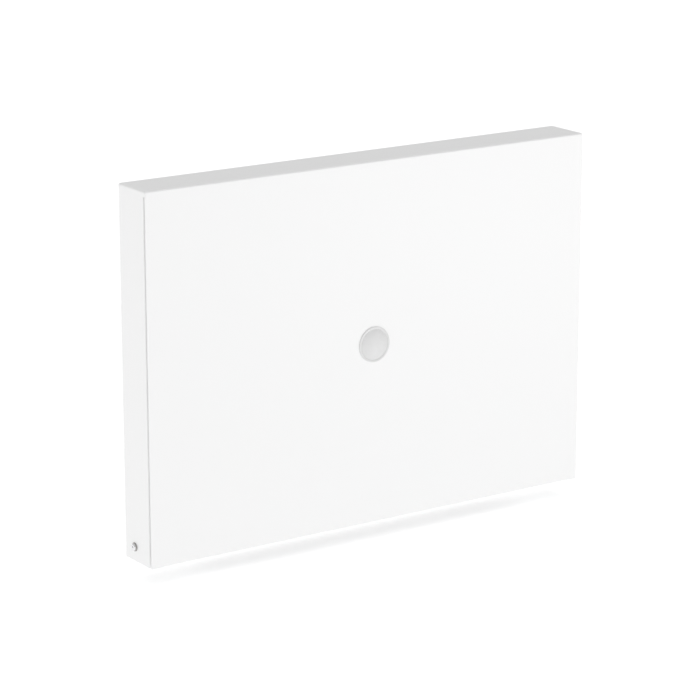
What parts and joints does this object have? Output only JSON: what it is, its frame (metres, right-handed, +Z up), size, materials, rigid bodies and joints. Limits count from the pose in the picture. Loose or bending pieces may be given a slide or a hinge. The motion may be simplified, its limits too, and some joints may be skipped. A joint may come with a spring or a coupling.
{
  "type": "wall mounted fold down drying rack",
  "caption": "Shallow white wall box whose hood folds down on low pivot pins and lets nested U-shaped drying rails fan out above it.",
  "frame": {"origin": "centre of the four wall holes, on the wall plane", "axes": "+X along the wall, to the right for someone facing the rack; +Y into the wall; +Z up; the hood's front faces -Y"},
  "size_m": [0.7066, 0.0762, 0.5],
  "materials": {
    "white_coat": "satin white powder coat",
    "rail_coat": "smooth white coat on steel rod",
    "hub_plastic": "light grey moulded plastic",
    "grey_plastic": "mid grey moulded plastic",
    "steel": "zinc plated steel",
    "spring_steel": "phosphated spring steel",
    "polished_steel": "polished stainless steel",
    "aluminium": "drawn aluminium tube",
    "magnet": "nickel plated magnet",
    "rubber": "soft black rubber",
    "badge_grey": "light grey enamel"
  },
  "bodies": {
    "wall_base": {"base_tray": "white_coat", "pivot_shaft": "steel", "shaft_clips": "spring_steel", "stop_rod": "steel", "stop_rod_clips": "spring_steel", "pivot_washers": "spring_steel", "pivot_screws": "polished_steel", "ear_spacers": "grey_plastic", "hub_spacers": "grey_plastic", "centre_sleeve": "aluminium", "catch_housings": "grey_plastic", "catch_magnets": "magnet", "catch_screws": "steel", "rest_brackets": "white_coat", "rest_strips": "rubber", "rest_rivets": "steel"},
    "hood": {"hood_shell": "white_coat", "hood_stiffeners": "white_coat", "hinge_plates": "steel", "hinge_studs": "steel", "hinge_nuts": "steel", "hood_bushes": "grey_plastic", "catch_strikes": "steel", "front_badge": "badge_grey"},
    "hoop_1": {"hoop_1_rail": "rail_coat", "hoop_1_hubs": "hub_plastic", "hoop_1_pins": "spring_steel"},
    "hoop_2": {"hoop_2_rail": "rail_coat", "hoop_2_hubs": "hub_plastic", "hoop_2_pins": "spring_steel"},
    "hoop_3": {"hoop_3_rail": "rail_coat", "hoop_3_hubs": "hub_plastic", "hoop_3_pins": "spring_steel"},
    "hoop_4": {"hoop_4_rail": "rail_coat", "hoop_4_hubs": "hub_plastic", "hoop_4_pins": "spring_steel"},
    "hoop_5": {"hoop_5_rail": "rail_coat", "hoop_5_hubs": "hub_plastic", "hoop_5_pins": "spring_steel"}
  },
  "joints": [
    {"name": "hood_fold", "type": "hinge", "parent": "wall_base", "child": "hood", "pos_m": [0, -0.0325, -0.2305], "axis": [1, 0, 0], "range_deg": [0, 90]},
    {"name": "hoop_1_fold", "type": "hinge", "parent": "wall_base", "child": "hoop_1", "pos_m": [0, -0.0325, -0.2305], "axis": [1, 0, 0], "range_deg": [0, 75]},
    {"name": "hoop_2_fold", "type": "hinge", "parent": "wall_base", "child": "hoop_2", "pos_m": [0, -0.0325, -0.2305], "axis": [1, 0, 0], "range_deg": [0, 60]},
    {"name": "hoop_3_fold", "type": "hinge", "parent": "wall_base", "child": "hoop_3", "pos_m": [0, -0.0325, -0.2305], "axis": [1, 0, 0], "range_deg": [0, 45]},
    {"name": "hoop_4_fold", "type": "hinge", "parent": "wall_base", "child": "hoop_4", "pos_m": [0, -0.0325, -0.2305], "axis": [1, 0, 0], "range_deg": [0, 30]},
    {"name": "hoop_5_fold", "type": "hinge", "parent": "wall_base", "child": "hoop_5", "pos_m": [0, -0.0325, -0.2305], "axis": [1, 0, 0], "range_deg": [0, 15]}
  ],
  "couplings": [
    {"joint": "hoop_1_fold", "follows": "hood_fold", "ratio": 0.83333},
    {"joint": "hoop_2_fold", "follows": "hood_fold", "ratio": 0.66667},
    {"joint": "hoop_3_fold", "follows": "hood_fold", "ratio": 0.5},
    {"joint": "hoop_4_fold", "follows": "hood_fold", "ratio": 0.33333},
    {"joint": "hoop_5_fold", "follows": "hood_fold", "ratio": 0.16667}
  ]
}
